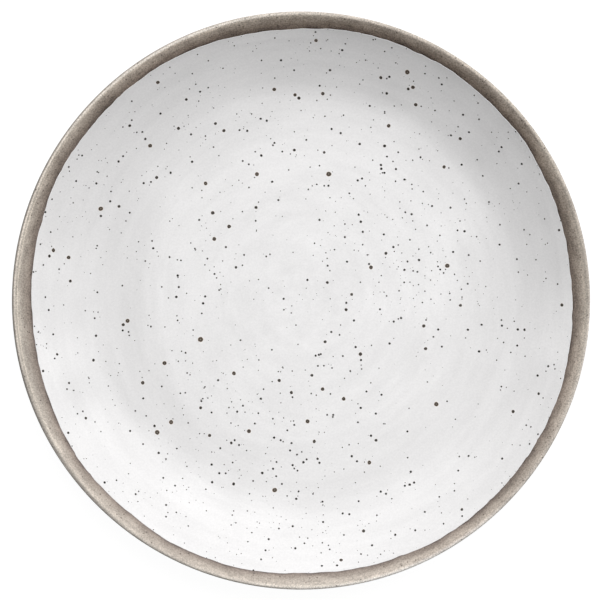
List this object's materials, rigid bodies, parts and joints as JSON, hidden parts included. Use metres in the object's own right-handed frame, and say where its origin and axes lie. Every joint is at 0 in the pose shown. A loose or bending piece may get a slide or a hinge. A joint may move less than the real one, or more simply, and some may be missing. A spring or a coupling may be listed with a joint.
{
  "type": "salad plate",
  "caption": "Round coupe salad plate in stoneware with a flat well, a flared wall, a bare clay rim and foot ring, and white speckled glaze on the face and the underside.",
  "frame": {"origin": "on the table under the middle of the plate, in the plane of the foot ring's bearing face", "axes": "+Z up along the turning axis, with the well facing up; +X to the right and +Y up in the picture, which looks straight down"},
  "size_m": [0.2134, 0.2134, 0.0234],
  "materials": {
    "bare_clay": "matte",
    "white_glaze": "satin"
  },
  "bodies": {
    "root": {"clay_body": "bare_clay", "face_glaze": "white_glaze", "outside_glaze": "white_glaze", "base_glaze": "white_glaze"}
  },
  "joints": []
}
